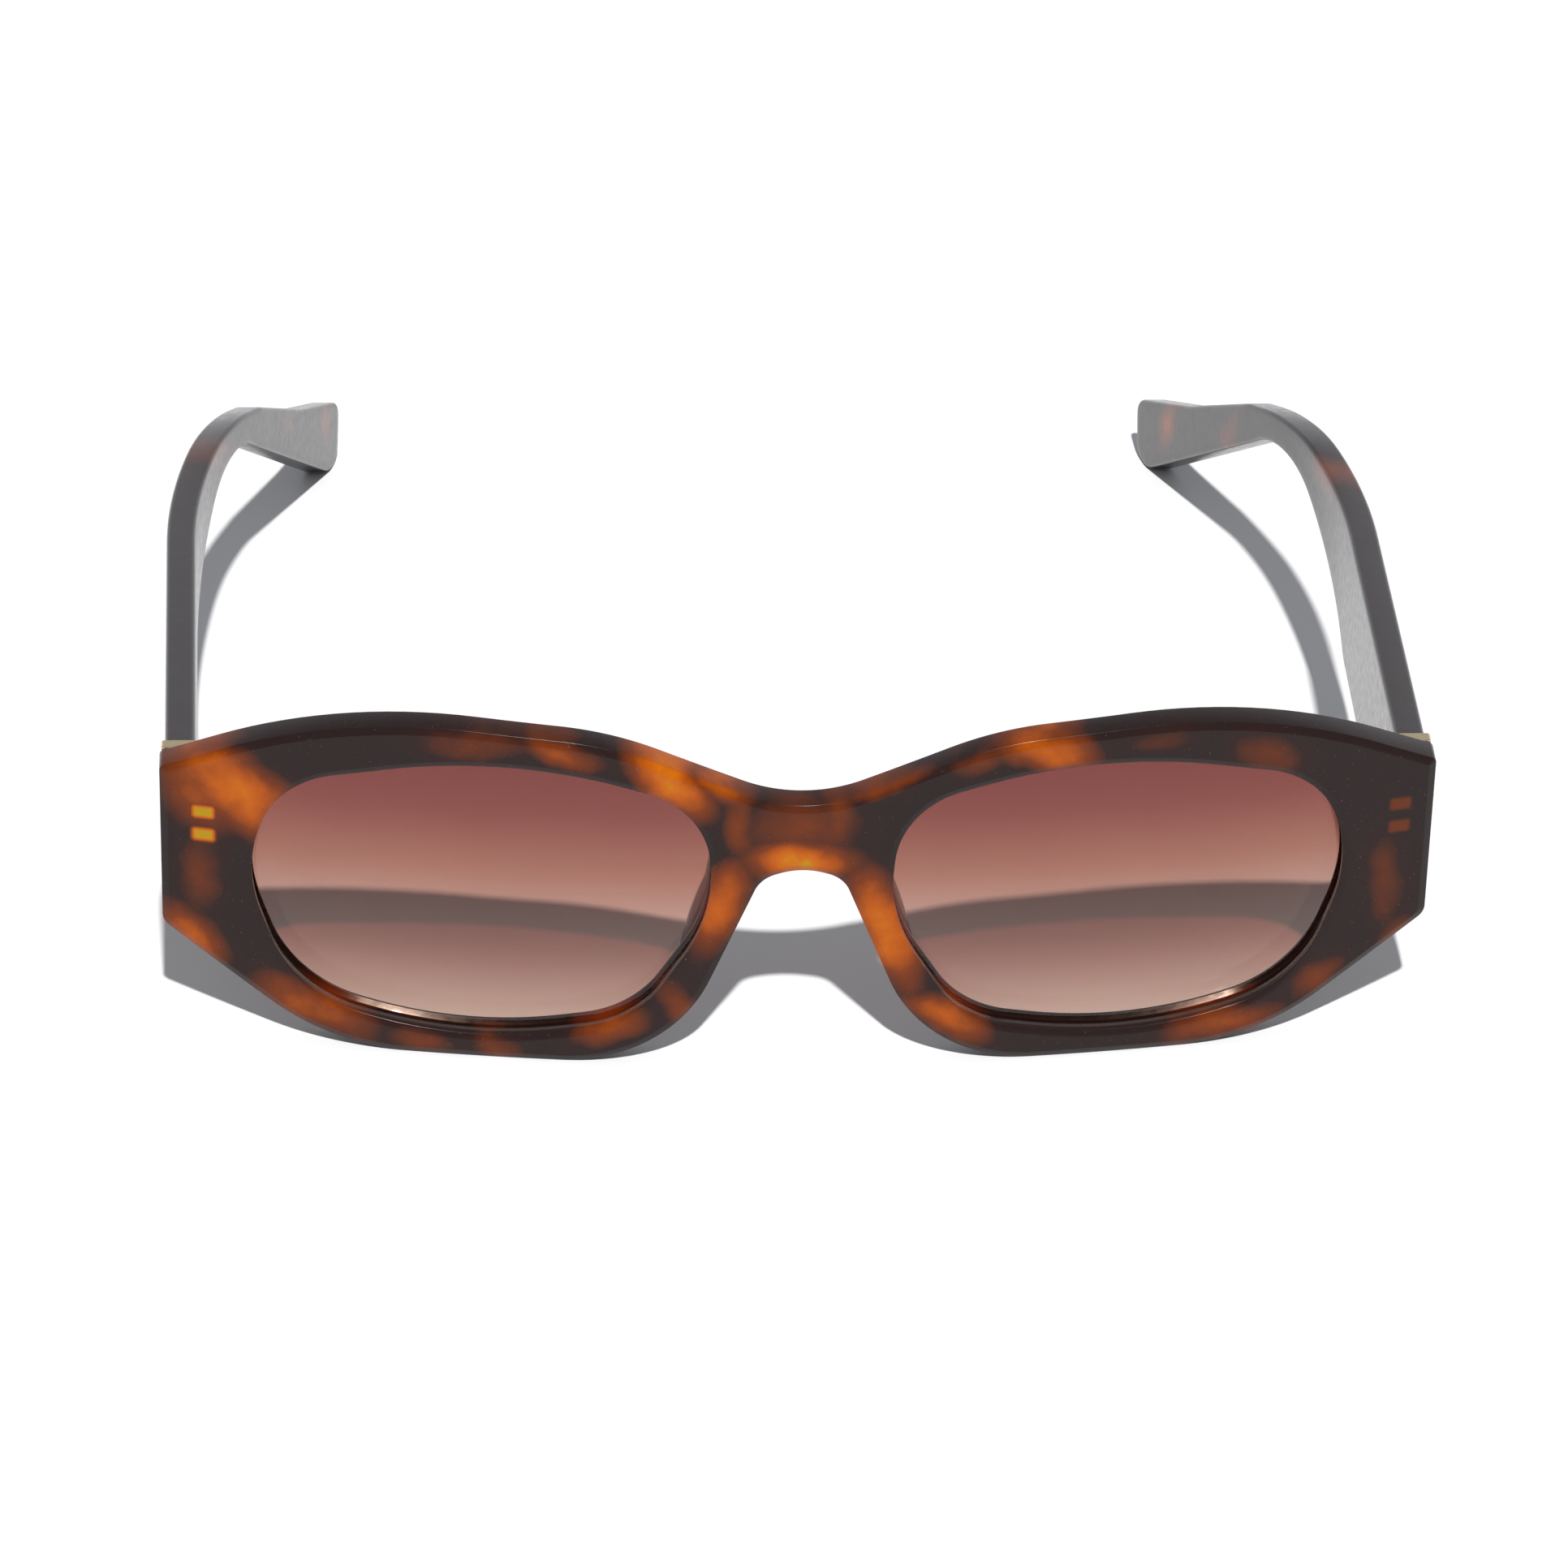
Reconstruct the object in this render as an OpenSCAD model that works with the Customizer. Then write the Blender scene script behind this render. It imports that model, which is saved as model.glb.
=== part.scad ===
// Cat eye sunglasses, open and resting on a table: an acetate front with two lenses, glued nose pads,
// five-barrel hinges and two temples that fold.
// X runs across the front and the wearer's left is +X, Y runs from the front to the temple tips,
// and Z is up. The origin is on the table, at the middle of the overall width and depth.

/* [Front] */
// Overall width of the front
front_w = 145; // [143:0.5:148]
// Thickness of the acetate
front_t = 4; // [3.9:0.1:4.4]
// Radius that the front is bent to, seen from above
wrap_r = 286; // [250:2:340]
// Angle by which the top leans forward of the bottom
lean = 2.5; // [1:0.5:4]
// Height of the highest point of the brow line
brow_h = 43.8; // [43.2:0.1:44.6]
// Height of the dip above the bridge
dip_h = 35.1; // [34.4:0.1:35.8]
// Height of the nose arch
arch_h = 26.3; // [25.6:0.1:26.8]

/* [Lenses] */
// Width of each lens opening
lens_w = 51.7; // [50.6:0.1:52.4]
// Height of each lens opening
lens_h = 35.9; // [35:0.1:36.2]
// Distance between the two openings across the nose
nose_w = 20.6; // [20.2:0.1:21.6]
// Radius of the lens surface
lens_r = 220; // [180:5:300]
// Thickness of a lens
lens_t = 1.8; // [1.6:0.1:2]
// How far the middle of the lens is set back from the front face
lens_set = 0.9; // [0.7:0.1:1]
// How far the lens reaches into its groove
groove_d = 0.7; // [0.5:0.1:0.9]

/* [Temples] */
// Thickness of a temple
temple_t = 3.5; // [3.4:0.1:3.8]
// Height of a temple at the hinge
temple_h = 18.6; // [18:0.1:19]
// Distance from the front face to the end of the temple tips
temple_reach = 152.4; // [148:0.2:156]
// Distance from the front face at which a temple starts to bend inwards
bend_start = 68; // [62:1:74]
// Radius of the inward bend
bend_r = 127; // [115:1:150]
// Angle of the inward bend
bend_angle = 15; // [12:0.5:17]
// Angle by which the open temples spread apart
splay = 0.6; // [0:0.1:2]

/* [Hinges] */
// Radius of the hinge barrels
barrel_r = 1.6; // [1.4:0.05:1.8]
// Height of the five barrels together
hinge_h = 9; // [8:0.1:10]
// Height of the middle of the hinge above the table
hinge_z = 27; // [26:0.1:27.5]
// Radius of the hinge screw
screw_r = 0.7; // [0.6:0.05:0.8]

/* [Hidden] */

tortoise = [0.42, 0.22, 0.10];
lens_tint = [0.62, 0.42, 0.39, 0.7];
gold = [0.85, 0.72, 0.45];
steel = [0.70, 0.70, 0.72];

LEFT = 1;
RIGHT = -1;

arc_step = 4;        // degrees between the points of a rounded corner
round_fn = 120;      // facets of the large round surfaces
small_fn = 48;       // facets of the hinge's round surfaces
seat_gap = 0.03;     // clearance of a part let into the acetate
bore_gap = 0.05;     // radial clearance of the hinge screw
joint_gap = 0.3;     // slit between the end plate and the temple
past = 1;            // how far a cutting tool runs past the surface

half_w = front_w / 2;
lens_x = (nose_w + lens_w) / 2;
lens_z = 21.1;                       // height of the middle of the opening
upright_z = 20;                      // height at which the leaning face is at Y = 0
lean_y = upright_z * tan(lean);
lens_turn = asin(lens_x / wrap_r);   // how far a lens is turned outwards by the wrap
wrap_deep = 20;                      // front-to-back room that the bent front needs
rear_r = wrap_r - front_t;
rest_drop = 0.05;                    // lets the lowest edge of the leaning front touch the table

// The front's outline from the nose arch round to the dip, as [x, z, corner radius].
half_outline = [
    [0, arch_h + 0.5, 8],
    [4.7, arch_h - 1, 3.8],
    [nose_w - 5.8, 0, 18],
    [half_w - 19.2, 0, 26],
    [half_w - 0.1, 14.2, 1.8],
    [half_w, brow_h - 8.9, 0.8],
    [lens_x + 15.9, brow_h + 0.8, 58],
    [lens_x - 14.4, brow_h - 1.3, 36],
    [0, dip_h - 1.5, 18]
];
half_count = len(half_outline);
outline = concat(
    half_outline,
    [for (i = [half_count - 2 : -1 : 1]) mirrored(half_outline[i])]
);

// A lens opening, as [x, z, corner radius] from its own middle. Its corners are blended so much
// that the opening is narrower and lower than its corners.
opening_corners = [
    [-0.334, -0.435, 12.5],
    [0.036, -0.535, 52],
    [0.413, -0.405, 14.5],
    [0.519, 0.031, 18],
    [0.453, 0.382, 11.5],
    [-0.055, 0.553, 54],
    [-0.484, 0.373, 10],
    [-0.510, -0.026, 20]
];
opening = [
    for (c = opening_corners) [lens_x + c[0] * lens_w, lens_z + c[1] * lens_h, c[2]]
];

// A nose pad follows the rim between the nose and the lens.
pad_outline = [
    [11.6, 9.6, 1],
    [13.2, 12.2, 1.5],
    [10.3, 21.5, 8],
    [9.9, 28.5, 2],
    [8.9, 32, 1],
    [5.5, 25.4, 1.5]
];
pad_deep = 4.2;      // how far a pad stands out behind the front
pad_curve = 15;      // radius of its side view
pad_x = 8;           // distance from the middle of the nose to a pad
pad_z = 18;          // height at which it is deepest
pad_splay = 12;      // angle by which it turns away from the nose

outer_x = half_w - 0.6;              // outer face of a temple
inner_x = outer_x - temple_t;
joint_y = 14.7;                      // front end of a temple
tip_h = 7.8;                         // height of the temple tip
temple_top = 35;
temple_low = temple_top - temple_h;

// Side view of a temple, as [y, z, corner radius].
temple_outline = [
    [joint_y, temple_low, 0.8],
    [67.5, temple_low - 0.4, 10],
    [temple_reach - 50.6, 29, 22],
    [temple_reach - 4.6, 0, 4],
    [temple_reach - 0.8, 0, 2.6],
    [temple_reach, tip_h, 2.6],
    [temple_reach - 17.2, 15.6, 20],
    [temple_reach - 37.5, 26.4, 12],
    [temple_reach - 51, 31.6, 60],
    [joint_y, temple_top, 0.5]
];

// The core wire's centre line in the side view, as [y, z, corner radius].
wire_path = [
    [joint_y + 12, temple_low + 9, 0],
    [68, temple_low + 8.6, 40],
    [temple_reach - 50.6, 30.2, 24],
    [temple_reach - 6, 4.6, 0]
];
wire_w = 1.3;
wire_h = 2.2;

plate_x = inner_x + 0.2;             // inner face of an end plate, which stands proud of the temple
plate_top = temple_top + 0.7;

pivot = [inner_x - barrel_r - 0.7, joint_y];
barrel_count = 5;
barrel_gap = 0.1;
barrel_pitch = hinge_h / barrel_count;
hinge_low = hinge_z - hinge_h / 2;
leaf_t = 0.8;                        // thickness of the plates let into the acetate
foot_w = 2.8;
foot_h = 1.9;
foot_pitch = 3;
foot_deep = 2.7;
plate_len = 9;
head_r = 1.25;
head_h = 0.7;
slot_w = 0.35;

// Halfway from the foremost point, at the top of the dip, to the ends of the tips.
foremost_y = lean_y - (dip_h + 0.5) * sin(lean);
mid_y = (foremost_y + temple_reach) / 2;

function rear_y(x) = wrap_r - sqrt(rear_r * rear_r - x * x);
function mirrored(p) = [-p[0], p[1], p[2]];
function unit(v) = v / norm(v);
function point(p) = [p[0], p[1]];
function out_from(p, q) = let (d = unit(point(q) - point(p))) [d[1], -d[0]];
function turn(a, b) = atan2(a[0] * b[1] - a[1] * b[0], a * b);
function before(list, i) = list[(i + len(list) - 1) % len(list)];
function after(list, i) = list[(i + 1) % len(list)];

// The arc that rounds the corner at p, between the neighbours p0 and p2.
function corner(p0, p, p2) =
    let (
        a = unit(point(p) - point(p0)),
        b = unit(point(p2) - point(p)),
        angle = turn(a, b),
        side = sign(angle),
        cut = p[2] * tan(abs(angle) / 2),
        centre = point(p) - a * cut + side * p[2] * [-a[1], a[0]],
        steps = max(1, ceil(abs(angle) / arc_step))
    )
    p[2] == 0 ? [point(p)] : [
        for (i = [0 : steps])
            let (t = angle * i / steps)
            centre + side * p[2] * [a[1] * cos(t) + a[0] * sin(t), a[1] * sin(t) - a[0] * cos(t)]
    ];

function rounded(list) = [
    for (i = [0 : len(list) - 1]) each corner(before(list, i), list[i], after(list, i))
];

// The same corners moved out by d. The list runs anticlockwise.
function grown(list, d) = [
    for (i = [0 : len(list) - 1])
        let (
            p = list[i],
            m = out_from(before(list, i), p),
            n = out_from(p, after(list, i)),
            moved = point(p) + d * (m + n) / (1 + m * n),
            bends_out = turn([-m[1], m[0]], [-n[1], n[0]]) > 0
        )
        [moved[0], moved[1], max(0.1, p[2] + (bends_out ? d : -d))]
];

// One side of a band of half width d along an open path, as corners.
function side_of(path, d) = [
    for (i = [0 : len(path) - 1])
        let (
            m = i == 0 ? out_from(path[0], path[1]) : out_from(path[i - 1], path[i]),
            n = i == len(path) - 1 ? m : out_from(path[i], path[i + 1]),
            moved = point(path[i]) + d * (m + n) / (1 + m * n)
        )
        [moved[0], moved[1], path[i][2]]
];

function band(path, d) =
    let (upper = side_of(path, -d))
    concat(side_of(path, d), [for (i = [len(path) - 1 : -1 : 0]) upper[i]]);

module placed(side) {
    translate([0, -mid_y, 0]) mirror([side == RIGHT ? 1 : 0, 0, 0]) children();
}

// The front's own frame, in which its face is upright.
module leaning() {
    translate([0, lean_y, -rest_drop]) rotate([lean, 0, 0]) children();
}

module upright_slab(corners, deep = wrap_deep) {
    translate([0, deep, 0]) rotate([90, 0, 0]) linear_extrude(deep) polygon(rounded(corners));
}

module bent_round(r) {
    translate([0, wrap_r, -past]) cylinder(r = r, h = brow_h + 3 * past, $fn = 3 * round_fn);
}

module bent_shell(r_out, r_in) {
    difference() {
        bent_round(r_out);
        bent_round(r_in);
    }
}

module sphere_shell(grow) {
    middle = lens_set + lens_r;
    foot = [lens_x, wrap_r * (1 - cos(lens_turn)), lens_z];
    translate(foot + middle * [-sin(lens_turn), cos(lens_turn), 0]) difference() {
        sphere(r = lens_r + grow, $fn = 3 * round_fn);
        sphere(r = lens_r - lens_t - grow, $fn = 3 * round_fn);
    }
}

module lens_blank(grow = 0) {
    intersection() {
        upright_slab(grown(opening, groove_d + grow));
        sphere_shell(grow);
    }
}

module lens(side) {
    color(lens_tint) placed(side) leaning() lens_blank();
}

module front() {
    color(tortoise) placed(LEFT) difference() {
        leaning() intersection() {
            upright_slab(outline);
            bent_shell(wrap_r, rear_r);
        }
        for (turned = [0, 1]) mirror([turned, 0, 0]) {
            leaning() upright_slab(opening, wrap_deep + past);
            leaning() lens_blank(seat_gap);
            hinge_anchor(seat_gap);
        }
    }
}

// Everything behind the chord of the front's rear face from x = a to x = b.
module behind_rear(a, b) {
    translate([0, 0, -past]) linear_extrude(brow_h)
        polygon([[a, rear_y(a)], [b, rear_y(b)], [b, wrap_deep], [a, wrap_deep]]);
}

module nose_pad(side) {
    color(tortoise) placed(side) leaning() intersection() {
        translate([pad_x, front_t, 0]) rotate([0, 0, -pad_splay]) translate([-pad_x, -front_t, 0])
            upright_slab(pad_outline);
        behind_rear(pad_x - 4, pad_x + 7);
        translate([0, front_t + pad_deep - pad_curve, pad_z]) rotate([0, 90, 0])
            cylinder(r = pad_curve, h = lens_x, $fn = round_fn);
    }
}

// Metal wedge that fills the corner between the rear of the front and the end of the temple.
module end_plate(side) {
    color(gold) placed(side) intersection() {
        translate([plate_x, 0, temple_low])
            cube([half_w - 0.2 - plate_x, joint_y - joint_gap, plate_top - temple_low]);
        leaning() behind_rear(inner_x, half_w);
    }
}

// The plate and the two feet of the front leaf that lie in the acetate.
module hinge_anchor(grow) {
    foot_x = pivot[0] + 0.8;
    anchor_x = pivot[0] - 2.4;
    anchor_w = foot_x + foot_w + 0.2 - anchor_x;
    intersection() {
        translate([anchor_x - grow, 0, hinge_low - grow])
            cube([anchor_w + 2 * grow, joint_y, hinge_h + 2 * grow]);
        leaning() bent_shell(rear_r + leaf_t + grow, rear_r);
    }
    for (level = [-0.5, 0.5]) intersection() {
        translate([foot_x - grow, 0, hinge_z + level * foot_pitch - foot_h / 2 - grow])
            cube([foot_w + 2 * grow, joint_y, foot_h + 2 * grow]);
        leaning() bent_shell(rear_r + foot_deep + grow, rear_r);
    }
}

module barrel(index) {
    translate([pivot[0], pivot[1], hinge_low + index * barrel_pitch + barrel_gap / 2])
        cylinder(r = barrel_r, h = barrel_pitch - barrel_gap, $fn = small_fn);
}

module barrel_bore() {
    translate([pivot[0], pivot[1], hinge_low - past])
        cylinder(r = screw_r + bore_gap, h = hinge_h + 2 * past, $fn = small_fn);
}

// Block between a barrel and the part that carries it, from corner a to corner b in plan.
module web(index, a, b) {
    translate([a[0], a[1], hinge_low + index * barrel_pitch + barrel_gap / 2])
        cube([b[0] - a[0], b[1] - a[1], barrel_pitch - barrel_gap]);
}

module hinge_front(side) {
    web_w = barrel_r - 0.3;
    color(gold) placed(side) difference() {
        union() {
            hinge_anchor(0);
            for (index = [0 : 2 : barrel_count - 1]) {
                barrel(index);
                intersection() {
                    web(index, [pivot[0] - web_w, 0], [pivot[0] + web_w, pivot[1]]);
                    leaning() bent_round(rear_r + leaf_t / 2);
                }
            }
        }
        barrel_bore();
    }
}

module hinge_temple_plate(grow) {
    translate([inner_x, joint_y - grow, hinge_low - grow])
        cube([leaf_t + grow, plate_len + 2 * grow, hinge_h + 2 * grow]);
    for (step = [0.25, 0.75])
        translate([inner_x, joint_y + step * plate_len - 1 - grow, hinge_z - 1 - grow])
            cube([leaf_t + 1 + grow, 2 + 2 * grow, 2 + 2 * grow]);
}

module hinge_temple(side) {
    color(gold) placed(side) splayed() difference() {
        union() {
            hinge_temple_plate(0);
            for (index = [1 : 2 : barrel_count - 2]) {
                barrel(index);
                web(index, [pivot[0], pivot[1] + 0.2], [inner_x + leaf_t / 2, pivot[1] + 1.5]);
            }
        }
        barrel_bore();
    }
}

module hinge_screw(side) {
    head_z = hinge_low + hinge_h;
    color(steel) placed(side) translate([pivot[0], pivot[1], 0]) difference() {
        union() {
            translate([0, 0, hinge_low]) cylinder(r = screw_r, h = hinge_h + 0.2, $fn = small_fn);
            translate([0, 0, head_z]) cylinder(r = head_r, h = head_h, $fn = small_fn);
        }
        translate([-2 * head_r, -slot_w / 2, head_z + head_h / 2]) cube([4 * head_r, slot_w, head_h]);
    }
}

// The space between two upright surfaces that run straight back, bend inwards and run on.
module bent_band(x_out, thick) {
    centre_x = outer_x - bend_r;
    r_out = x_out - centre_x;
    wedge = 2 * bend_r;
    translate([x_out - thick, 0, -past]) cube([thick, bend_start, brow_h]);
    translate([centre_x, bend_start, -past]) {
        intersection() {
            difference() {
                cylinder(r = r_out, h = brow_h, $fn = 2 * round_fn);
                translate([0, 0, -past])
                    cylinder(r = r_out - thick, h = brow_h + 2 * past, $fn = 2 * round_fn);
            }
            linear_extrude(brow_h) polygon([[0, 0], [wedge, 0], [wedge, wedge * tan(bend_angle)]]);
        }
        rotate([0, 0, bend_angle]) translate([r_out - thick, 0, 0])
            cube([thick, temple_reach, brow_h]);
    }
}

// An open temple turns outwards on its hinge by the splay angle.
module splayed() {
    translate([pivot[0], pivot[1], 0]) rotate([0, 0, -splay]) translate([-pivot[0], -pivot[1], 0])
        children();
}

module sideways_slab(corners) {
    rotate([90, 0, 90]) linear_extrude(half_w + past) polygon(rounded(corners));
}

module core_wire_solid(grow) {
    intersection() {
        sideways_slab(band(wire_path, wire_h / 2 + grow));
        bent_band(outer_x - (temple_t - wire_w) / 2 + grow, wire_w + 2 * grow);
    }
}

module temple(side) {
    color(tortoise) placed(side) splayed() difference() {
        intersection() {
            sideways_slab(temple_outline);
            bent_band(outer_x, temple_t);
        }
        core_wire_solid(seat_gap);
        hinge_temple_plate(seat_gap);
    }
}

module core_wire(side) {
    color(steel) placed(side) splayed() core_wire_solid(0);
}

front();
lens(LEFT);  // lens_left
lens(RIGHT);  // lens_right
nose_pad(LEFT);  // nose_pad_left
nose_pad(RIGHT);  // nose_pad_right
end_plate(LEFT);  // end_plate_left
end_plate(RIGHT);  // end_plate_right
hinge_front(LEFT);  // hinge_front_left
hinge_front(RIGHT);  // hinge_front_right
hinge_screw(LEFT);  // hinge_screw_left
hinge_screw(RIGHT);  // hinge_screw_right
temple(LEFT);  // temple_left
temple(RIGHT);  // temple_right
hinge_temple(LEFT);  // hinge_temple_left
hinge_temple(RIGHT);  // hinge_temple_right
core_wire(LEFT);  // core_wire_left
core_wire(RIGHT);  // core_wire_right
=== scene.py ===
"""The looks of the cat eye sunglasses: polished tortoiseshell acetate, gradient lenses and pale gold hinges,
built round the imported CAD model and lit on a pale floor. Lengths are in millimetres until a mesh is made."""

import math

import bmesh
import bpy
import numpy as np
from mathutils import Matrix, Vector
from mathutils.geometry import delaunay_2d_cdt


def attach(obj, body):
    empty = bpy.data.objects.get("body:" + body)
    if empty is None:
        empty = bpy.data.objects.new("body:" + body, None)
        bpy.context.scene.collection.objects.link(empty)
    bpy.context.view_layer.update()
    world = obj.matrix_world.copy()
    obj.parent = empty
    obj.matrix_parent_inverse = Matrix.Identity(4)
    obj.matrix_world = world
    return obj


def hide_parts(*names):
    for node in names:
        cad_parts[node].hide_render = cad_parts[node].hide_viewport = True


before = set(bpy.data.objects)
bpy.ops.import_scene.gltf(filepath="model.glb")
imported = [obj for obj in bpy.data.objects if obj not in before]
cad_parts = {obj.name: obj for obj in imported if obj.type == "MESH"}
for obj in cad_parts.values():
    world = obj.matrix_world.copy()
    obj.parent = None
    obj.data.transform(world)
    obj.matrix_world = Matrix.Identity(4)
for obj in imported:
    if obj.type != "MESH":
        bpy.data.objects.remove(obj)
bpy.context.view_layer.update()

MM = 0.001
LEFT, RIGHT = 1, -1
SIDES = {"left": LEFT, "right": RIGHT}

# The driving dimensions of the CAD model.
FRONT_W = 145.0
FRONT_T = 4.0
WRAP_R = 286.0
LEAN = math.radians(2.5)
BROW_H, DIP_H, ARCH_H = 43.8, 35.1, 26.3
LENS_W, LENS_H, NOSE_W = 51.7, 35.9, 20.6
LENS_R, LENS_T, LENS_SET, GROOVE_D = 220.0, 1.8, 0.9, 0.7
TEMPLE_T, TEMPLE_H, TEMPLE_REACH = 3.5, 18.6, 152.4
BEND_START, BEND_R, BEND_ANGLE = 68.0, 127.0, math.radians(15)
SPLAY = math.radians(0.6)
BARREL_R = 1.6
HINGE_Z = 27.0
FOOT_W, FOOT_H, FOOT_PITCH = 2.8, 1.9, 3.0
FOOT_OFFSET = 0.8       # from the pivot to the near side of a foot

HALF_W = FRONT_W / 2
LENS_X = (NOSE_W + LENS_W) / 2
LENS_Z = 21.1
LEAN_Y = 20 * math.tan(LEAN)
REST_DROP = 0.05
LENS_TURN = math.asin(LENS_X / WRAP_R)
OUTER_X = HALF_W - 0.6
INNER_X = OUTER_X - TEMPLE_T
JOINT_Y = 14.7
TEMPLE_TOP = 35.0
TEMPLE_LOW = TEMPLE_TOP - TEMPLE_H
PIVOT = (INNER_X - BARREL_R - 0.7, JOINT_Y)
MID_Y = (LEAN_Y - (DIP_H + 0.5) * math.sin(LEAN) + TEMPLE_REACH) / 2

# How the visual pieces are drawn.
ARC_STEP = 2.0          # degrees between the points of a rounded corner
EDGE_STEP = 15.0        # the same in the profile of an edge
POINT_GAP = 1.2         # longest stretch of an outline without a point
PROUD = 0.05            # how far the metal plates stand proud of the acetate
SAME_POINT = 1e-7       # points nearer than this, in metres, are one point
FRONT_IOR, TEMPLE_IOR = 1.3, 1.6        # the temples are polished to a stronger shine than the front
CLOUD_DEPTH = 1000.0    # half length of a cloud through the acetate
CLOUD_BLEND = 0.12      # how softly neighbouring clouds run together
SHINE_HEAD_ON = 0.036   # share of the light that a lens reflects when seen square on
SHINE_GAIN = 0.95       # what it reflects on top of that at a glancing angle
FOOT_RISE = 1.6         # how far above its place a foot shows through the acetate
FOOT_DEPTH = 2.2        # half the depth to which a foot's colour reaches
FOOT_SOFT = 0.55        # softness of a foot's edge

half_outline = [
    (0, ARCH_H + 0.5, 8),
    (4.7, ARCH_H - 1, 3.8),
    (NOSE_W - 5.8, 0, 18),
    (HALF_W - 19.2, 0, 26),
    (HALF_W - 0.1, 14.2, 1.8),
    (HALF_W, BROW_H - 8.9, 0.8),
    (LENS_X + 15.9, BROW_H + 0.8, 58),
    (LENS_X - 14.4, BROW_H - 1.3, 36),
    (0, DIP_H - 1.5, 18),
]
front_outline = half_outline + [(-x, z, r) for x, z, r in half_outline[-2:0:-1]]

opening_corners = [
    (-0.334, -0.435, 12.5),
    (0.036, -0.535, 52),
    (0.413, -0.405, 14.5),
    (0.519, 0.031, 18),
    (0.453, 0.382, 11.5),
    (-0.055, 0.553, 54),
    (-0.484, 0.373, 10),
    (-0.510, -0.026, 20),
]
opening = [(LENS_X + u * LENS_W, LENS_Z + v * LENS_H, r) for u, v, r in opening_corners]

pad_outline = [
    (11.6, 9.6, 1),
    (13.2, 12.2, 1.5),
    (10.3, 21.5, 8),
    (9.9, 28.5, 2),
    (8.9, 32, 1),
    (5.5, 25.4, 1.5),
]
PAD_DEEP, PAD_THIN, PAD_CURVE, PAD_Z = 4.2, 0.25, 15.0, 18.0
PAD_SPLAY = math.radians(12)

temple_outline = [
    (JOINT_Y + PROUD, TEMPLE_LOW, 0.8),
    (67.5, TEMPLE_LOW - 0.4, 10),
    (TEMPLE_REACH - 50.6, 29, 22),
    (TEMPLE_REACH - 4.6, 0, 4),
    (TEMPLE_REACH - 0.8, 0, 2.6),
    (TEMPLE_REACH, 7.8, 2.6),
    (TEMPLE_REACH - 17.2, 15.6, 20),
    (TEMPLE_REACH - 37.5, 26.4, 12),
    (TEMPLE_REACH - 51, 31.6, 60),
    (JOINT_Y + PROUD, TEMPLE_TOP, 0.5),
]

# Edge profiles as (distance in from the edge, depth, corner radius).
front_edge = [
    (1.1, 0, 0),
    (0.85, 0, 0.1),
    (0, 0.4, 0.1),
    (0, FRONT_T - PROUD, 0.4),
    (1.0, FRONT_T - PROUD, 0),
]
opening_edge = [
    (1.0, 0, 0),
    (0.75, 0, 0.1),
    (0, 0.3, 0.1),
    (0, 0.45, 0),
    (0, 0.85, 0),
    (0, 0.9, 0),
]
opening_back = [(0, FRONT_T - 0.4, 0), (0, FRONT_T - PROUD, 0.2), (0.8, FRONT_T - PROUD, 0)]
lens_edge = [(0.9, 0, 0), (0, 0, 0.25), (0, LENS_T, 0.25), (0.9, LENS_T, 0)]
temple_edge = [(1.6, 0, 0), (0, 0, 0.5), (0, TEMPLE_T - PROUD, 0.6), (1.6, TEMPLE_T - PROUD, 0)]
pad_edge = [(0, 0, 0), (0, 1, 0.7), (0.9, 1, 0)]


# ---- outlines -----------------------------------------------------------------------------------

def unit(v):
    return v / np.linalg.norm(v)


def turn(a, b):
    """The angle from direction a to direction b, in degrees, anticlockwise."""
    return math.degrees(math.atan2(a[0] * b[1] - a[1] * b[0], a @ b))


def corner(before, at, after, step):
    """The arc that rounds the corner at `at`, as a list of points."""
    p, r = np.array(at[:2], float), at[2]
    if r == 0:
        return [p]
    a, b = unit(p - np.array(before[:2])), unit(np.array(after[:2]) - p)
    angle = turn(a, b)
    side = math.copysign(1, angle)
    centre = p - a * r * math.tan(math.radians(abs(angle) / 2)) + side * r * np.array([-a[1], a[0]])
    steps = max(1, math.ceil(abs(angle) / step))
    points = []
    for i in range(steps + 1):
        t = math.radians(angle * i / steps)
        spoke = np.array([a[1] * math.cos(t) + a[0] * math.sin(t), a[1] * math.sin(t) - a[0] * math.cos(t)])
        points.append(centre + side * r * spoke)
    return points


def rounded(corners, step=ARC_STEP):
    count = len(corners)
    points = []
    for i in range(count):
        points += corner(corners[i - 1], corners[i], corners[(i + 1) % count], step)
    return np.array(points)


def profile(corners):
    """An open edge profile with its inner corners rounded."""
    points = [np.array(corners[0][:2], float)]
    for i in range(1, len(corners) - 1):
        points += corner(corners[i - 1], corners[i], corners[i + 1], EDGE_STEP)
    return points + [np.array(corners[-1][:2], float)]


def grown(corners, d):
    """The same corners moved out by d. The list runs anticlockwise."""
    moved = []
    count = len(corners)
    for i in range(count):
        p = np.array(corners[i][:2], float)
        a = unit(p - np.array(corners[i - 1][:2]))
        b = unit(np.array(corners[(i + 1) % count][:2]) - p)
        m, n = np.array([a[1], -a[0]]), np.array([b[1], -b[0]])
        q = p + d * (m + n) / (1 + m @ n)
        moved.append((q[0], q[1], max(0.1, corners[i][2] + (d if turn(a, b) > 0 else -d))))
    return moved


def ring(corners, d=0.0):
    """An outline moved out by d, with the same number of points for every d."""
    plain = rounded(corners)
    gaps = np.linalg.norm(np.roll(plain, -1, axis=0) - plain, axis=1)
    moved = rounded(grown(corners, d))
    points = []
    for i, gap in enumerate(gaps):
        parts = max(1, math.ceil(gap / POINT_GAP))
        following = moved[(i + 1) % len(moved)]
        points += [moved[i] + (following - moved[i]) * k / parts for k in range(parts)]
    return np.array(points)


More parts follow.
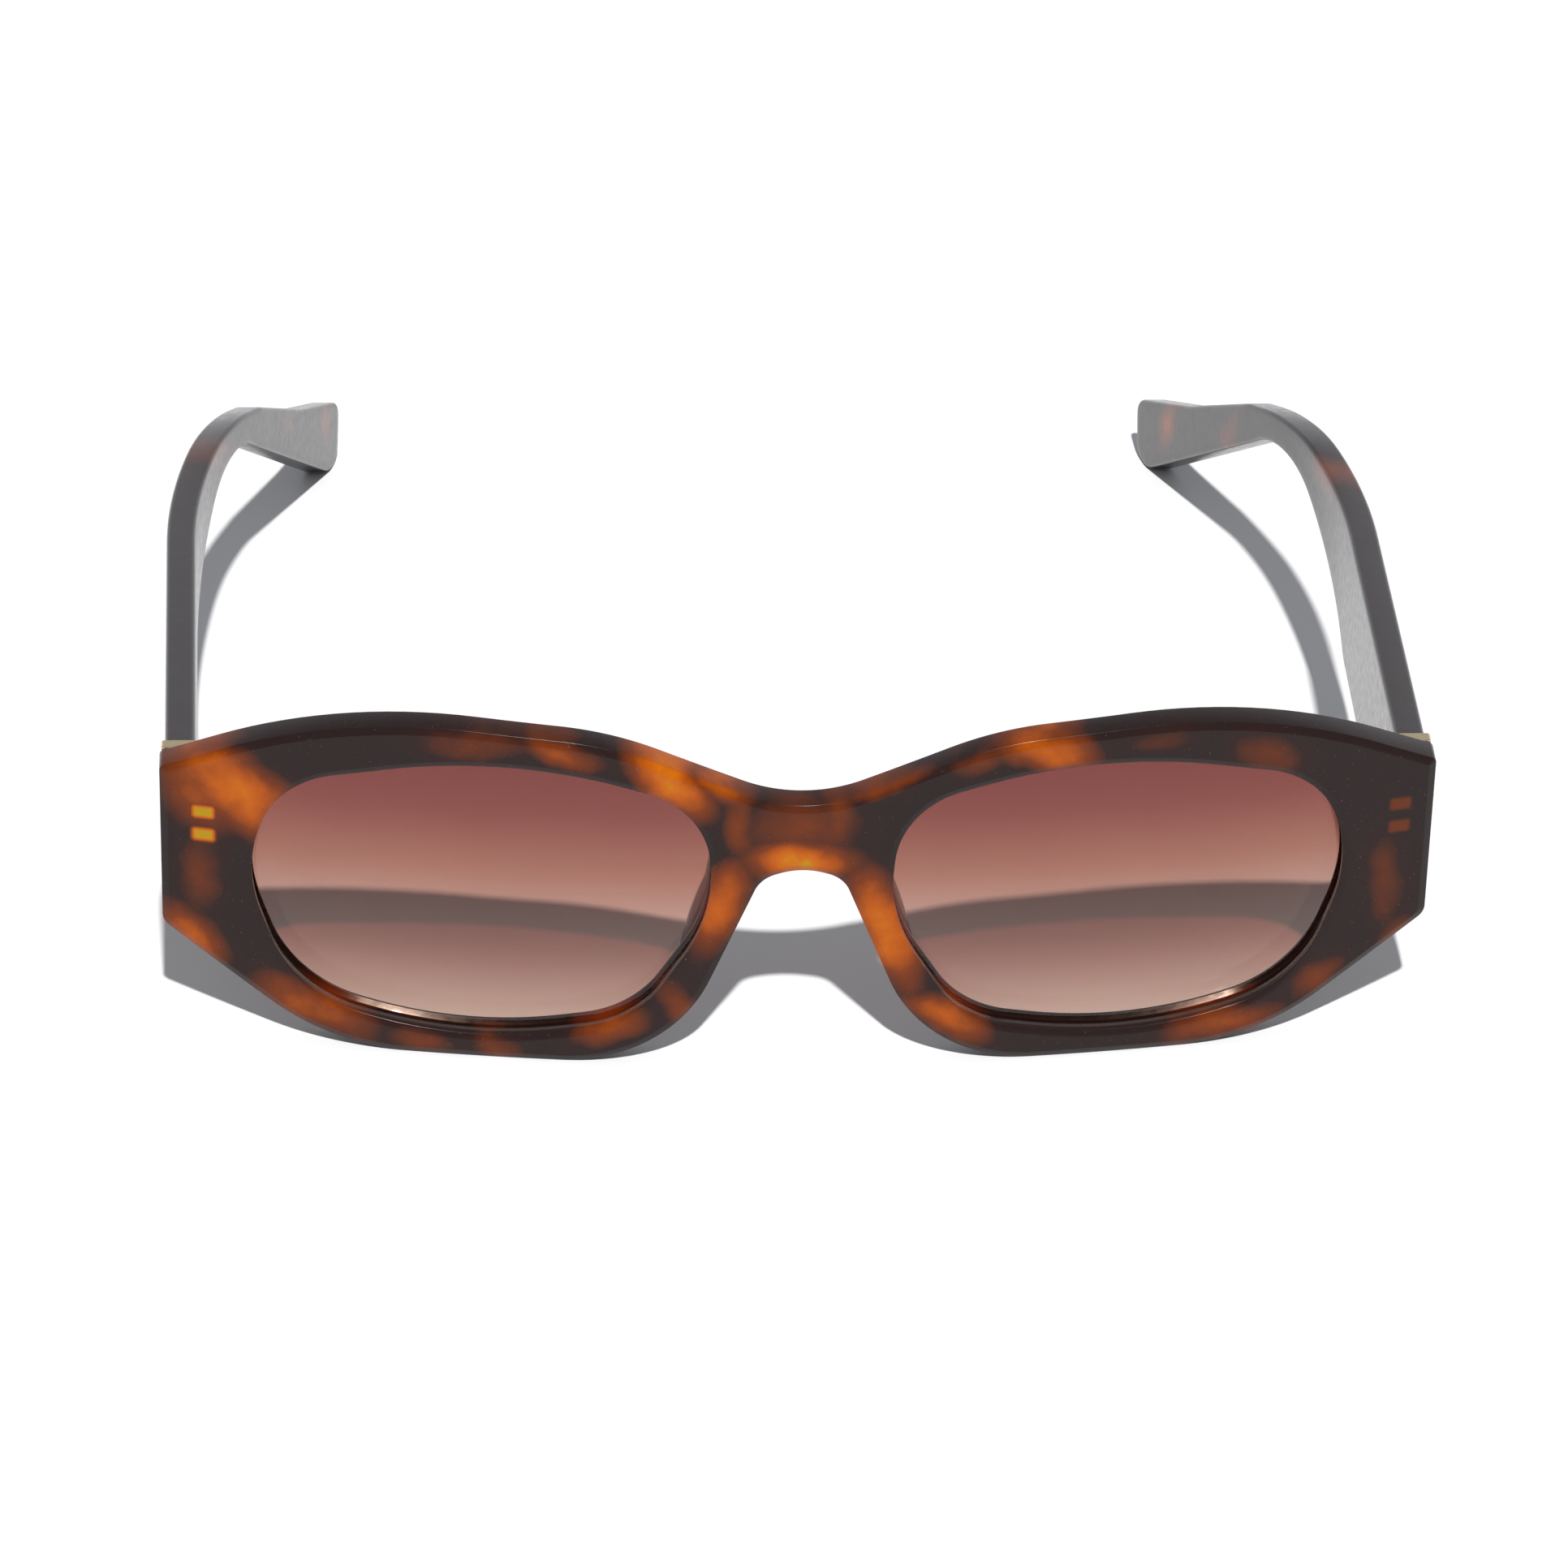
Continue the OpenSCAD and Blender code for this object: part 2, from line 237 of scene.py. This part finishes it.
def inside(point, outline):
    """Whether a point lies inside an outline, by counting the edges to its right."""
    following = np.roll(outline, -1, axis=0)
    level = (outline[:, 1] > point[1]) != (following[:, 1] > point[1])
    share = (point[1] - outline[level, 1]) / (following[level, 1] - outline[level, 1])
    crossings = outline[level, 0] + share * (following[level, 0] - outline[level, 0]) > point[0]
    return np.count_nonzero(crossings) % 2 == 1


# ---- sheets with profiled edges -----------------------------------------------------------------

class Sheet:
    """A closed sheet drawn flat as (u, v, depth). `place` puts a flat point in space."""

    def __init__(self):
        self.flat = []
        self.faces = []

    def loop(self, points, depth):
        start = len(self.flat)
        depths = np.broadcast_to(depth, len(points))
        self.flat += [(p[0], p[1], t) for p, t in zip(points, depths)]
        return list(range(start, len(self.flat)))

    def strip(self, one, other):
        for i in range(len(one)):
            k = (i + 1) % len(one)
            self.faces.append((one[i], one[k], other[k], other[i]))

    def strips(self, loops):
        for one, other in zip(loops, loops[1:]):
            self.strip(one, other)

    def cap(self, loops, depth, spacing):
        """Fills the space inside the first loop and outside the others."""
        fixed = [i for loop in loops for i in loop]
        points = [Vector(self.flat[i][:2]) for i in fixed]
        edges = []
        for loop in loops:
            start = fixed.index(loop[0])
            edges += [(start + i, start + (i + 1) % len(loop)) for i in range(len(loop))]
        known = np.array([p[:] for p in points])
        low, high = known.min(axis=0), known.max(axis=0)
        rows = np.arange(low[1], high[1], spacing * 0.866)
        for index, v in enumerate(rows):
            for u in np.arange(low[0] + spacing / 2 * (index % 2), high[0], spacing):
                if np.min(np.hypot(known[:, 0] - u, known[:, 1] - v)) > spacing * 0.6:
                    points.append(Vector((u, v)))
        found, _, faces, origins, _, _ = delaunay_2d_cdt(points, edges, [], 1, 1e-7)
        holes = [np.array([self.flat[i][:2] for i in loop]) for loop in loops[1:]]
        indices = []
        for p, origin in zip(found, origins):
            known_one = [o for o in origin if o < len(fixed)]
            if known_one:
                indices.append(fixed[known_one[0]])
            else:
                indices.append(len(self.flat))
                self.flat.append((p[0], p[1], depth))
        for face in faces:
            middle = np.mean([found[i][:] for i in face], axis=0)
            if not any(inside(middle, hole) for hole in holes):
                self.faces.append(tuple(indices[i] for i in face))

    def mesh_object(self, name, place, material):
        points = [Vector(place(u, v, t)) * MM for u, v, t in self.flat]
        mesh = bpy.data.meshes.new(name)
        mesh.from_pydata(points, [], self.faces)
        work = bmesh.new()
        work.from_mesh(mesh)
        loose = [v for v in work.verts if not v.link_faces]
        bmesh.ops.delete(work, geom=loose, context="VERTS")
        bmesh.ops.remove_doubles(work, verts=work.verts, dist=SAME_POINT)
        bmesh.ops.recalc_face_normals(work, faces=work.faces)
        for face in work.faces:
            face.smooth = True
        work.to_mesh(mesh)
        work.free()
        mesh.materials.append(material)
        piece = bpy.data.objects.new(name, mesh)
        bpy.context.scene.collection.objects.link(piece)
        return piece


# ---- where flat points go -----------------------------------------------------------------------

def leaned(x, y, z):
    """From the front's own upright frame to the row frame."""
    return (
        x,
        y * math.cos(LEAN) - z * math.sin(LEAN) + LEAN_Y - MID_Y,
        y * math.sin(LEAN) + z * math.cos(LEAN) - REST_DROP,
    )


def front_y(x, depth):
    return WRAP_R - math.sqrt((WRAP_R - depth) ** 2 - x * x)


def place_front(u, v, depth):
    return leaned(u, front_y(u, depth), v)


def lens_y(u, v, depth):
    """The lens surfaces are spheres about a point behind the middle of the opening. u is taken positive."""
    middle = LENS_SET + LENS_R
    x0 = LENS_X - middle * math.sin(LENS_TURN)
    y0 = WRAP_R * (1 - math.cos(LENS_TURN)) + middle * math.cos(LENS_TURN)
    return y0 - math.sqrt((LENS_R - depth) ** 2 - (u - x0) ** 2 - (v - LENS_Z) ** 2)


def lens_depth(points, depth):
    """Depth below the front's face of a surface of the lens, at points of the left opening."""
    return np.array([WRAP_R - math.hypot(u, WRAP_R - lens_y(u, v, depth)) for u, v in points])


def place_lens(side):
    return lambda u, v, depth: leaned(side * u, lens_y(u, v, depth), v)


def place_pad(side):
    def place(u, v, share):
        offset = abs(v - PAD_Z)
        sag = PAD_DEEP
        if offset < PAD_CURVE:
            sag = PAD_CURVE - math.sqrt(PAD_CURVE ** 2 - offset ** 2)
        height = max(PAD_THIN, PAD_DEEP - sag) * share
        x = u + height * math.sin(PAD_SPLAY)
        y = front_y(u, FRONT_T - 2 * PROUD) + height * math.cos(PAD_SPLAY)
        return leaned(side * x, y, v)

    return place


def place_temple(side):
    centre_x = OUTER_X - BEND_R

    def place(u, v, depth):
        r = BEND_R - depth
        if u <= BEND_START:
            x = OUTER_X - depth
        elif u <= BEND_START + r * math.sin(BEND_ANGLE):
            x = centre_x + math.sqrt(r * r - (u - BEND_START) ** 2)
        else:
            past = u - BEND_START - r * math.sin(BEND_ANGLE)
            x = centre_x + r * math.cos(BEND_ANGLE) - past * math.tan(BEND_ANGLE)
        dx, dy = x - PIVOT[0], u - PIVOT[1]
        turned_x = PIVOT[0] + dx * math.cos(SPLAY) + dy * math.sin(SPLAY)
        turned_y = PIVOT[1] - dx * math.sin(SPLAY) + dy * math.cos(SPLAY)
        return side * turned_x, turned_y - MID_Y, v

    return place


# ---- pieces -------------------------------------------------------------------------------------

def fits(piece, body, node):
    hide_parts(node)
    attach(piece, body)
    return piece


def opening_loops(sheet, side):
    """The bevel, the groove and the rear edge of one lens opening."""
    loops = []

    def add(growth, depth_of):
        points = ring(opening, growth)
        depth = depth_of(points)
        if side == RIGHT:
            points = points * [-1, 1]
        loops.append(sheet.loop(points, depth))

    for growth, depth in profile(opening_edge):
        add(growth, lambda points, depth=depth: depth)
    for growth, depth, gap in (
        (0, 0, -PROUD),
        (GROOVE_D + PROUD, 0, -PROUD),
        (GROOVE_D + PROUD, LENS_T, PROUD),
        (0, LENS_T, PROUD),
    ):
        add(growth, lambda points, depth=depth, gap=gap: lens_depth(points, depth) + gap)
    for growth, depth in profile(opening_back):
        add(growth, lambda points, depth=depth: depth)
    sheet.strips(loops)
    return loops[0], loops[-1]


def acetate_front(material):
    sheet = Sheet()
    outer = [sheet.loop(ring(front_outline, -inset), depth) for inset, depth in profile(front_edge)]
    sheet.strips(outer)
    holes = [opening_loops(sheet, side) for side in (LEFT, RIGHT)]
    sheet.cap([outer[0]] + [hole[0] for hole in holes], 0.0, 1.6)
    sheet.cap([outer[-1]] + [hole[1] for hole in holes], FRONT_T - PROUD, 1.6)
    piece = sheet.mesh_object("acetate_front", place_front, material)
    return fits(piece, "front", "front")


def edged_sheet(corners, edge, spacing):
    sheet = Sheet()
    loops = [sheet.loop(ring(corners, -inset), depth) for inset, depth in profile(edge)]
    sheet.strips(loops)
    sheet.cap([loops[0]], edge[0][1], spacing)
    sheet.cap([loops[-1]], edge[-1][1], spacing)
    return sheet


def tinted_lens(name, side, material):
    sheet = edged_sheet(grown(opening, GROOVE_D), lens_edge, 2.4)
    piece = sheet.mesh_object(f"tinted_lens_{name}", place_lens(side), material)
    return fits(piece, "front", f"lens_{name}")


def nose_pad(name, side, material):
    sheet = edged_sheet(pad_outline, pad_edge, 0.8)
    piece = sheet.mesh_object(f"glued_pad_{name}", place_pad(side), material)
    return fits(piece, "front", f"nose_pad_{name}")


def temple(name, side, material):
    sheet = edged_sheet(temple_outline, temple_edge, 2.4)
    piece = sheet.mesh_object(f"acetate_temple_{name}", place_temple(side), material)
    return fits(piece, f"temple_{name}", f"temple_{name}")


def dress_metal(node, material, edge_mm):
    """A CAD node keeps its shape: its sharp edges are eased and its material is set."""
    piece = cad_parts[node]
    weld = piece.modifiers.new("weld", "WELD")
    weld.merge_threshold = 1e-6
    bevel = piece.modifiers.new("eased_edges", "BEVEL")
    bevel.width = edge_mm * MM
    bevel.segments = 2
    bevel.limit_method = "ANGLE"
    bevel.angle_limit = math.radians(40)
    piece.data.materials.clear()
    piece.data.materials.append(material)


# ---- materials ----------------------------------------------------------------------------------

class Material:
    """A node tree built by calls. Inputs are numbers, colours or the output sockets of other nodes."""

    def __init__(self, name):
        self.made = bpy.data.materials.new(name)
        self.made.use_nodes = True
        self.tree = self.made.node_tree
        self.tree.nodes.clear()

    def node(self, kind, inputs=(), **settings):
        made = self.tree.nodes.new(kind)
        for key, value in settings.items():
            setattr(made, key, value)
        for key, value in dict(inputs).items():
            if isinstance(value, bpy.types.NodeSocket):
                self.tree.links.new(value, made.inputs[key])
            else:
                made.inputs[key].default_value = value
        return made

    def math(self, operation, a, b=0.0, c=0.0):
        return self.node("ShaderNodeMath", {0: a, 1: b, 2: c}, operation=operation).outputs[0]

    def vector(self, operation, a, b, c=(0, 0, 0)):
        return self.node("ShaderNodeVectorMath", {0: a, 1: b, 2: c}, operation=operation).outputs[0]

    def millimetres(self):
        place = self.node("ShaderNodeTexCoord").outputs["Object"]
        scaled = self.node("ShaderNodeVectorMath", {0: place, "Scale": 1 / MM}, operation="SCALE")
        return scaled.outputs[0]

    def noise(self, place, scale, detail=3.0, roughness=0.5):
        inputs = {"Vector": place, "Scale": scale, "Detail": detail, "Roughness": roughness}
        return self.node("ShaderNodeTexNoise", inputs)

    def ranged(self, value, from_low, from_high, to_low, to_high, smooth=False):
        inputs = {0: value, 1: from_low, 2: from_high, 3: to_low, 4: to_high}
        kind = "SMOOTHSTEP" if smooth else "LINEAR"
        return self.node("ShaderNodeMapRange", inputs, interpolation_type=kind, clamp=True).outputs[0]

    def mix_colour(self, factor, a, b):
        return self.node("ShaderNodeMix", {0: factor, 6: a, 7: b}, data_type="RGBA").outputs[2]

    def ramp(self, value, stops):
        made = self.node("ShaderNodeValToRGB", {0: value})
        points = made.color_ramp.elements
        while len(points) < len(stops):
            points.new(0.5)
        for point, (place, colour) in zip(points, stops):
            point.position = place
            point.color = (*colour, 1)
        return made.outputs[0]

    def bump(self, height, distance_mm, strength=1.0, under=None):
        inputs = {"Strength": strength, "Distance": distance_mm * MM, "Height": height}
        if under is not None:
            inputs["Normal"] = under
        return self.node("ShaderNodeBump", inputs).outputs[0]

    def finish(self, shader):
        self.node("ShaderNodeOutputMaterial", {"Surface": shader.outputs[0]})
        return self.made


# Amber clouds in the front, as (x, z, half length, half width, angle, strength).
# x is towards the wearer's left.
front_clouds = [
    (-64, 33.4, 11.5, 5.6, -42, 0.84),
    (-68.5, 33, 8, 5.5, -60, 0.6),
    (-66.5, 37, 6, 2.6, 22, 0.72),
    (-69.5, 13.4, 6.5, 4.4, -40, 0.72),
    (-68.2, 22, 9, 3.4, 86, 0.38),
    (-55, 5, 10, 3.4, -27, 0.62),
    (-43, 1.5, 6, 2.6, -8, 0.42),
    (-34, 1.4, 4.5, 2.6, 0, 0.4),
    (-21.5, 5, 6.5, 3.2, 32, 0.58),
    (-37, 42, 10, 3, 0, 0.38),
    (-27, 41, 6, 2.6, -20, 0.6),
    (-15.5, 38.3, 8, 4, -50, 0.95),
    (-10, 37.6, 6.5, 2.2, -25, 0.66),
    (-7.3, 32.5, 7, 2.6, 100, 0.5),
    (0, 27.6, 8.5, 3.6, 0, 0.93),
    (0, 32, 10, 5, 0, 0.44),
    (3.6, 33.5, 6, 2.8, 90, 0.45),
    (9, 38.2, 7.5, 2.4, 24, 0.66),
    (-9.5, 21.5, 8.5, 4.2, 70, 0.78),
    (-13.5, 8.5, 6, 3, -60, 0.45),
    (9.5, 18.5, 11, 4.2, -68, 0.88),
    (16.5, 6, 7.5, 3.2, -35, 0.72),
    (27.5, 41, 7.5, 3.6, -12, 0.8),
    (20, 40.5, 5, 2.4, 12, 0.42),
    (40, 42, 6, 2.4, 0, 0.3),
    (53, 38.5, 6.5, 4.2, -25, 0.38),
    (67.5, 20, 10, 3.2, 95, 0.36),
    (69, 12, 4.5, 3, 60, 0.42),
    (49, 2.6, 9, 2.8, 12, 0.58),
    (60, 7.5, 5.5, 2.8, 38, 0.45),
]
# Amber clouds in the temples, as (distance behind the front, z, half length, half width, angle, strength).
left_clouds = [
    (24, 30, 7, 3.5, 20, 0.4),
    (56, 22, 9, 3, -15, 0.35),
    (86, 30.5, 8, 2.5, -12, 0.55),
    (120, 20, 8, 3, -50, 0.45),
    (141, 10, 6, 3, -55, 0.65),
]
right_clouds = [
    (20, 31, 6, 3, -20, 0.4),
    (47, 27, 9, 3, 15, 0.4),
    (95, 30, 9, 2.5, -15, 0.45),
    (127, 18, 7, 3, -50, 0.35),
    (145, 8, 5, 3, -55, 0.55),
]


def clouds_mask(m, place, clouds, across):
    """The strongest cloud at each point. `across` is the axis along which the clouds run through the
    acetate: 0 for X, 1 for Y."""
    mask = None
    for u, z, long_r, short_r, angle, strength in clouds:
        middle, turned, size = [0.0, 0.0, z], [0.0, 0.0, 0.0], [long_r, long_r, short_r]
        middle[1 - across] = u
        size[across] = CLOUD_DEPTH
        turned[across] = math.radians(angle if across == 0 else -angle)
        inputs = {"Vector": place, "Location": middle, "Rotation": turned, "Scale": size}
        local = m.node("ShaderNodeMapping", inputs, vector_type="TEXTURE").outputs[0]
        length = m.node("ShaderNodeVectorMath", {0: local}, operation="LENGTH").outputs["Value"]
        cloud = m.ranged(length, 0.0, 1.4, strength, 0.0, smooth=True)
        if mask is None:
            mask = cloud
        else:
            mask = m.math("SMOOTH_MAX", mask, cloud, CLOUD_BLEND)
    return mask


def box_mask(m, place, middle, half, soft):
    """1 inside a box about `middle` and 0 outside it, fading over `soft` to either side of its faces."""
    offset = m.vector("SUBTRACT", place, middle)
    size = m.node("ShaderNodeVectorMath", {0: offset}, operation="ABSOLUTE").outputs[0]
    parts = m.node("ShaderNodeSeparateXYZ", {0: size}).outputs
    masks = [m.ranged(parts[i], half[i] - soft, half[i] + soft, 1.0, 0.0, smooth=True) for i in range(3)]
    return m.math("MULTIPLY", m.math("MULTIPLY", masks[0], masks[1]), masks[2])


def feet_mask(m, place):
    """The anchor feet of the hinges show through the acetate, brightly on the wearer's right. They are
    coloured where they show, which is higher than they lie and a little towards the wearer's left."""
    mask = None
    for side, strength, inwards in ((RIGHT, 1.0, 0.7), (LEFT, 0.40, -0.25)):
        for level in (-0.5, 0.5):
            middle = (
                side * (PIVOT[0] + FOOT_OFFSET + FOOT_W / 2 - inwards),
                front_y(PIVOT[0], 0) - MID_Y,
                HINGE_Z + FOOT_RISE + level * FOOT_PITCH,
            )
            foot = box_mask(m, place, middle, (FOOT_W / 2, FOOT_DEPTH, FOOT_H / 2), FOOT_SOFT)
            foot = m.math("MULTIPLY", foot, strength)
            mask = foot if mask is None else m.math("MAXIMUM", mask, foot)
    return mask


def tortoiseshell(name, clouds, across, ior, with_feet=False):
    """Polished acetate: clouds of amber in dark brown, under a slightly uneven gloss."""
    m = Material(name)
    place = m.millimetres()
    drift = m.noise(place, 0.12, 2.0).outputs["Color"]
    centred = m.vector("SUBTRACT", drift, (0.5, 0.5, 0.5))
    shifted = m.vector("MULTIPLY_ADD", centred, (4.0, 4.0, 4.0), place)
    mask = clouds_mask(m, shifted, clouds, across)
    mottle = m.noise(place, 0.35, 5.0, 0.6).outputs["Fac"]
    varied = m.math("MULTIPLY", mask, m.ranged(mottle, 0.3, 0.7, 0.88, 1.08))
    stray = m.math("MULTIPLY", m.ranged(mottle, 0.56, 0.78, 0.0, 1.0, smooth=True), 0.16)
    depth = m.math("MAXIMUM", varied, stray)
    if with_feet:
        depth = m.math("MAXIMUM", depth, feet_mask(m, place))
    colour = m.ramp(
        depth,
        [
            (0.0, (0.012, 0.0080, 0.0080)),
            (0.2, (0.020, 0.0080, 0.0065)),
            (0.5, (0.140, 0.025, 0.0020)),
            (0.75, (0.36, 0.068, 0.0)),
            (0.9, (0.44, 0.108, 0.0)),
            (1.0, (0.35, 0.20, 0.0)),
        ],
    )
    specks = m.ranged(m.noise(place, 4.2, 1.0).outputs["Fac"], 0.74, 0.80, 0.0, 0.5)
    dusty = m.mix_colour(specks, colour, (0.16, 0.14, 0.13, 1))
    rough = m.ranged(m.noise(place, 0.9, 4.0, 0.65).outputs["Fac"], 0.3, 0.7, 0.16, 0.27)
    waves = m.bump(m.noise(place, 0.22, 2.0).outputs["Fac"], 0.05, 0.35)
    stretched = m.node("ShaderNodeMapping", {"Vector": place, "Scale": (0.5, 0.5, 6.0)}).outputs[0]
    hairlines = m.bump(m.noise(stretched, 1.6, 3.0, 0.7).outputs["Fac"], 0.004, 0.35, waves)
    shader = m.node(
        "ShaderNodeBsdfPrincipled",
        {"Base Color": dusty, "Roughness": rough, "Normal": hairlines, "IOR": ior},
    )
    return m.finish(shader)


def lens_tint():
    """A see-through lens that is deep rose brown at the top and pale peach at the bottom."""
    m = Material("lens_gradient")
    place = m.millimetres()
    height = m.node("ShaderNodeSeparateXYZ", {0: place}).outputs[2]
    cloud = m.noise(place, 0.06, 2.0).outputs["Fac"]
    uneven = m.math("MULTIPLY", cloud, 1.6)
    share = m.ranged(m.math("ADD", height, uneven), 3.0, 39.0, 0.0, 1.0)
    tint = m.ramp(
        share,
        [
            (0.0, (0.87, 0.79, 0.74)),
            (0.24, (0.83, 0.73, 0.68)),
            (0.63, (0.60, 0.38, 0.32)),
            (0.84, (0.48, 0.24, 0.21)),
            (1.0, (0.44, 0.20, 0.18)),
        ],
    )
    through = m.node("ShaderNodeBsdfTransparent", {"Color": tint})
    rough = m.ranged(m.noise(place, 0.12, 4.0, 0.6).outputs["Fac"], 0.35, 0.7, 0.02, 0.06)
    gloss = m.node("ShaderNodeBsdfGlossy", {"Color": (0.9, 0.9, 0.92, 1), "Roughness": rough})
    slant = m.node("ShaderNodeLayerWeight", {"Blend": 0.5}).outputs["Facing"]
    shine = m.math("MULTIPLY_ADD", m.math("POWER", slant, 5.0), SHINE_GAIN, SHINE_HEAD_ON)
    inputs = {0: shine, 1: through.outputs[0], 2: gloss.outputs[0]}
    return m.finish(m.node("ShaderNodeMixShader", inputs))


def brushed_metal(name, pale, dark, grain, roughness):
    """Plated or drawn metal with fine brush lines, handling marks and a dulled tone in places."""
    m = Material(name)
    place = m.millimetres()
    lines = m.node("ShaderNodeMapping", {"Vector": place, "Scale": grain}).outputs[0]
    brushed = m.noise(lines, 3.0, 4.0, 0.7).outputs["Fac"]
    worn = m.noise(place, 0.5, 4.0, 0.6).outputs["Fac"]
    colour = m.mix_colour(m.ranged(worn, 0.35, 0.7, 0.0, 0.6), (*pale, 1), (*dark, 1))
    rough = m.ranged(brushed, 0.3, 0.7, roughness - 0.07, roughness + 0.09)
    normal = m.bump(brushed, 0.01, 0.4)
    shader = m.node(
        "ShaderNodeBsdfPrincipled",
        {"Base Color": colour, "Roughness": rough, "Normal": normal, "Metallic": 1.0},
    )
    return m.finish(shader)


def floor_material():
    m = Material("pale_floor")
    grain = m.noise(m.millimetres(), 0.02, 2.0).outputs["Fac"]
    colour = m.mix_colour(grain, (0.84, 0.84, 0.85, 1), (0.86, 0.86, 0.86, 1))
    inputs = {"Base Color": colour, "Roughness": 0.7, "Specular IOR Level": 0.2}
    return m.finish(m.node("ShaderNodeBsdfPrincipled", inputs))


# ---- stage, light and camera --------------------------------------------------------------------

FLOOR_HALF = 4.0        # metres from the middle of the floor to a side
FLOOR_Z = -1e-5         # just below the object, in metres
TO_WALL = (0.0, 0.5, -1.0)              # the light of the room grows this way: to the back and down
WALL_FADE = 0.25        # half width of the change from the room to the wall
ROOM_LIGHT, WALL_LIGHT = 0.28, 0.92
CAMERA_TARGET = (1.35, 60 - MID_Y, 3.40)
CAMERA_AWAY = 1025.9    # millimetres from the camera to its target
CAMERA_LENS = 195.7
CAMERA_TURN = (-3.54, 29.68, 1.41)      # azimuth, elevation and roll in degrees


def floor():
    mesh = bpy.data.meshes.new("floor")
    size = FLOOR_HALF
    corners = [(-size, -size), (size, -size), (size, size), (-size, size)]
    mesh.from_pydata([(x, y, FLOOR_Z) for x, y in corners], [], [(0, 1, 2, 3)])
    mesh.materials.append(floor_material())
    made = bpy.data.objects.new("floor", mesh)
    bpy.context.scene.collection.objects.link(made)


def lights():
    """One lamp from the front and above, a dim room, and a pale wall low behind the object."""
    lamp = bpy.data.lights.new("key", "SUN")
    lamp.energy = 4.0
    lamp.angle = math.radians(1.6)
    key = bpy.data.objects.new("key", lamp)
    key.rotation_mode = "QUATERNION"
    key.rotation_quaternion = Vector((-0.02, 0.80, -1)).to_track_quat("-Z", "Y")
    bpy.context.scene.collection.objects.link(key)

    world = bpy.data.worlds.new("room")
    world.use_nodes = True
    tree = world.node_tree
    tree.nodes.clear()
    direction = tree.nodes.new("ShaderNodeTexCoord")
    dot = tree.nodes.new("ShaderNodeVectorMath")
    dot.operation = "DOT_PRODUCT"
    dot.inputs[1].default_value = TO_WALL
    wall = tree.nodes.new("ShaderNodeMapRange")
    wall.interpolation_type = "SMOOTHSTEP"
    for socket, value in enumerate((-WALL_FADE, WALL_FADE, ROOM_LIGHT, WALL_LIGHT), start=1):
        wall.inputs[socket].default_value = value
    room = tree.nodes.new("ShaderNodeBackground")
    room.inputs["Color"].default_value = (0.93, 0.95, 1.0, 1)
    out = tree.nodes.new("ShaderNodeOutputWorld")
    tree.links.new(direction.outputs["Generated"], dot.inputs[0])
    tree.links.new(dot.outputs["Value"], wall.inputs[0])
    tree.links.new(wall.outputs[0], room.inputs["Strength"])
    tree.links.new(room.outputs[0], out.inputs["Surface"])
    bpy.context.scene.world = world
    bpy.context.scene.view_settings.view_transform = "Standard"


def camera():
    """Seen from the front, a little from the wearer's right, and from 30 degrees above."""
    azimuth, elevation, roll = (math.radians(a) for a in CAMERA_TURN)
    target = Vector(CAMERA_TARGET) * MM
    away = Vector((
        math.sin(azimuth) * math.cos(elevation),
        -math.cos(azimuth) * math.cos(elevation),
        math.sin(elevation),
    ))
    across = Vector((math.cos(azimuth), math.sin(azimuth), 0))
    upward = across.cross(-away)
    right = across * math.cos(roll) + upward * math.sin(roll)
    top = upward * math.cos(roll) - across * math.sin(roll)
    data = bpy.data.cameras.new("camera")
    data.sensor_width = 36
    data.lens = CAMERA_LENS
    data.clip_start, data.clip_end = 0.05, 30
    made = bpy.data.objects.new("camera", data)
    made.matrix_world = Matrix((right, top, away)).transposed().to_4x4()
    made.location = target + away * CAMERA_AWAY * MM
    bpy.context.scene.collection.objects.link(made)
    bpy.context.scene.camera = made


# ---- the whole ----------------------------------------------------------------------------------

front_shell = tortoiseshell("acetate_front_shell", front_clouds, 1, FRONT_IOR, with_feet=True)
temple_shells = {}
for name, clouds in (("left", left_clouds), ("right", right_clouds)):
    placed = [(y - MID_Y, *rest) for y, *rest in clouds]
    temple_shells[name] = tortoiseshell(f"acetate_{name}_shell", placed, 0, TEMPLE_IOR)
tint = lens_tint()
gold = brushed_metal("pale_gold", (0.80, 0.66, 0.42), (0.62, 0.47, 0.27), (0.4, 4.0, 4.0), 0.26)
steel = brushed_metal("turned_steel", (0.62, 0.61, 0.59), (0.42, 0.41, 0.40), (1.0, 1.0, 6.0), 0.24)
wire = brushed_metal("drawn_wire", (0.60, 0.60, 0.61), (0.44, 0.43, 0.42), (4.0, 0.3, 4.0), 0.32)

acetate_front(front_shell)
for name, side in SIDES.items():
    tinted_lens(name, side, tint)
    nose_pad(name, side, front_shell)
    temple(name, side, temple_shells[name])
    dress_metal(f"end_plate_{name}", gold, 0.22)
    dress_metal(f"hinge_front_{name}", gold, 0.1)
    dress_metal(f"hinge_temple_{name}", gold, 0.1)
    dress_metal(f"hinge_screw_{name}", steel, 0.06)
    dress_metal(f"core_wire_{name}", wire, 0.2)

floor()
lights()
camera()
